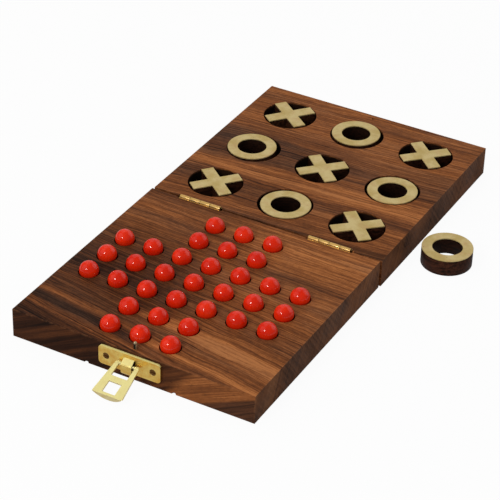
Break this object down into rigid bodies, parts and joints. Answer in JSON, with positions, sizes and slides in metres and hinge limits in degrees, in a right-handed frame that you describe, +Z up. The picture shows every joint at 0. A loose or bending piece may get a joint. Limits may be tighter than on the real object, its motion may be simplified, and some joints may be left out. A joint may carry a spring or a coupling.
{
  "type": "folding tic-tac-toe board",
  "caption": "Folding hardwood board lying open: crosses and rings in round wells on one leaf, balls in sockets on the other, with brass hinges and a loop latch.",
  "frame": {"origin": "centre of the front leaf's underside", "axes": "+X to the right along the seam, +Y from the front leaf to the back leaf, +Z up out of the playing faces"},
  "size_m": [0.1584, 0.2717, 0.0206],
  "materials": {
    "board_wood": "oiled dark hardwood with streaked grain, satin",
    "piece_wood": "dark hardwood, sawn and oiled, satin",
    "piece_brass": "brushed pale brass sheet with fine scratches",
    "fitting_brass": "polished yellow brass sheet",
    "screw_brass": "turned brass, slightly tarnished",
    "ball_red": "glossy opaque red"
  },
  "bodies": {
    "front_half": {"front_leaf": "board_wood", "hinge_left_front_flap": "fitting_brass", "hinge_right_front_flap": "fitting_brass", "hinge_left_pin": "screw_brass", "hinge_right_pin": "screw_brass", "hinge_front_screws": "screw_brass", "latch_plate": "fitting_brass", "latch_screws": "screw_brass", "locating_pin": "screw_brass"},
    "back_half": {"back_leaf": "board_wood", "hinge_left_back_flap": "fitting_brass", "hinge_right_back_flap": "fitting_brass", "hinge_back_screws": "screw_brass", "catch_plate": "fitting_brass", "catch_screws": "screw_brass"},
    "loop": {"latch_loop": "fitting_brass"},
    "cross_1": {"cross_1_body": "piece_wood", "cross_1_face": "piece_brass"},
    "cross_2": {"cross_2_body": "piece_wood", "cross_2_face": "piece_brass"},
    "cross_3": {"cross_3_body": "piece_wood", "cross_3_face": "piece_brass"},
    "cross_4": {"cross_4_body": "piece_wood", "cross_4_face": "piece_brass"},
    "cross_5": {"cross_5_body": "piece_wood", "cross_5_face": "piece_brass"},
    "ring_1": {"ring_1_body": "piece_wood", "ring_1_face": "piece_brass"},
    "ring_2": {"ring_2_body": "piece_wood", "ring_2_face": "piece_brass"},
    "ring_3": {"ring_3_body": "piece_wood", "ring_3_face": "piece_brass"},
    "ring_4": {"ring_4_body": "piece_wood", "ring_4_face": "piece_brass"},
    "ring_5": {"ring_5_body": "piece_wood", "ring_5_face": "piece_brass"},
    "ball_1": {"ball_1": "ball_red"},
    "ball_2": {"ball_2": "ball_red"},
    "ball_3": {"ball_3": "ball_red"},
    "ball_4": {"ball_4": "ball_red"},
    "ball_5": {"ball_5": "ball_red"},
    "ball_6": {"ball_6": "ball_red"},
    "ball_7": {"ball_7": "ball_red"},
    "ball_8": {"ball_8": "ball_red"},
    "ball_9": {"ball_9": "ball_red"},
    "balls_front_1": {"balls_front_1": "ball_red"},
    "balls_front_2": {"balls_front_2": "ball_red"},
    "balls_back_1": {"balls_back_1": "ball_red"},
    "balls_back_2": {"balls_back_2": "ball_red"},
    "balls_left_1": {"balls_left_1": "ball_red"},
    "balls_left_2": {"balls_left_2": "ball_red"},
    "balls_right_1": {"balls_right_1": "ball_red"},
    "balls_right_2": {"balls_right_2": "ball_red"}
  },
  "joints": [
    {"name": "fold", "type": "hinge", "parent": "front_half", "child": "back_half", "pos_m": [0, 0.0622, 0.015], "axis": [-1, 0, 0], "range_deg": [-150, 0]},
    {"name": "loop_swing", "type": "hinge", "parent": "front_half", "child": "loop", "pos_m": [0, -0.06415, 0.0088], "axis": [-1, 0, 0], "range_deg": [-70, 107.5]},
    {"name": "cross_1_lift", "type": "slide", "parent": "back_half", "child": "cross_1", "axis": [0, 0, 1], "range_m": [0, 0.02]},
    {"name": "cross_2_lift", "type": "slide", "parent": "back_half", "child": "cross_2", "axis": [0, 0, 1], "range_m": [0, 0.02]},
    {"name": "cross_3_lift", "type": "slide", "parent": "back_half", "child": "cross_3", "axis": [0, 0, 1], "range_m": [0, 0.02]},
    {"name": "cross_4_lift", "type": "slide", "parent": "back_half", "child": "cross_4", "axis": [0, 0, 1], "range_m": [0, 0.02]},
    {"name": "cross_5_lift", "type": "slide", "parent": "back_half", "child": "cross_5", "axis": [0, 0, 1], "range_m": [0, 0.02]},
    {"name": "ring_1_lift", "type": "slide", "parent": "back_half", "child": "ring_1", "axis": [0, 0, 1], "range_m": [0, 0.02]},
    {"name": "ring_2_lift", "type": "slide", "parent": "back_half", "child": "ring_2", "axis": [0, 0, 1], "range_m": [0, 0.02]},
    {"name": "ring_3_lift", "type": "slide", "parent": "back_half", "child": "ring_3", "axis": [0, 0, 1], "range_m": [0, 0.02]},
    {"name": "ring_4_lift", "type": "slide", "parent": "back_half", "child": "ring_4", "axis": [0, 0, 1], "range_m": [0, 0.02]},
    {"name": "ring_5_lift", "type": "slide", "parent": "front_half", "child": "ring_5", "axis": [0, 0, 1], "range_m": [0, 0.02]},
    {"name": "ball_1_lift", "type": "slide", "parent": "front_half", "child": "ball_1", "axis": [0, 0, 1], "range_m": [0, 0.02]},
    {"name": "ball_2_lift", "type": "slide", "parent": "front_half", "child": "ball_2", "axis": [0, 0, 1], "range_m": [0, 0.02]},
    {"name": "ball_3_lift", "type": "slide", "parent": "front_half", "child": "ball_3", "axis": [0, 0, 1], "range_m": [0, 0.02]},
    {"name": "ball_4_lift", "type": "slide", "parent": "front_half", "child": "ball_4", "axis": [0, 0, 1], "range_m": [0, 0.02]},
    {"name": "ball_5_lift", "type": "slide", "parent": "front_half", "child": "ball_5", "axis": [0, 0, 1], "range_m": [0, 0.02]},
    {"name": "ball_6_lift", "type": "slide", "parent": "front_half", "child": "ball_6", "axis": [0, 0, 1], "range_m": [0, 0.02]},
    {"name": "ball_7_lift", "type": "slide", "parent": "front_half", "child": "ball_7", "axis": [0, 0, 1], "range_m": [0, 0.02]},
    {"name": "ball_8_lift", "type": "slide", "parent": "front_half", "child": "ball_8", "axis": [0, 0, 1], "range_m": [0, 0.02]},
    {"name": "ball_9_lift", "type": "slide", "parent": "front_half", "child": "ball_9", "axis": [0, 0, 1], "range_m": [0, 0.02]},
    {"name": "balls_front_1_lift", "type": "slide", "parent": "front_half", "child": "balls_front_1", "axis": [0, 0, 1], "range_m": [0, 0.02]},
    {"name": "balls_front_2_lift", "type": "slide", "parent": "front_half", "child": "balls_front_2", "axis": [0, 0, 1], "range_m": [0, 0.02]},
    {"name": "balls_back_1_lift", "type": "slide", "parent": "front_half", "child": "balls_back_1", "axis": [0, 0, 1], "range_m": [0, 0.02]},
    {"name": "balls_back_2_lift", "type": "slide", "parent": "front_half", "child": "balls_back_2", "axis": [0, 0, 1], "range_m": [0, 0.02]},
    {"name": "balls_left_1_lift", "type": "slide", "parent": "front_half", "child": "balls_left_1", "axis": [0, 0, 1], "range_m": [0, 0.02]},
    {"name": "balls_left_2_lift", "type": "slide", "parent": "front_half", "child": "balls_left_2", "axis": [0, 0, 1], "range_m": [0, 0.02]},
    {"name": "balls_right_1_lift", "type": "slide", "parent": "front_half", "child": "balls_right_1", "axis": [0, 0, 1], "range_m": [0, 0.02]},
    {"name": "balls_right_2_lift", "type": "slide", "parent": "front_half", "child": "balls_right_2", "axis": [0, 0, 1], "range_m": [0, 0.02]}
  ]
}
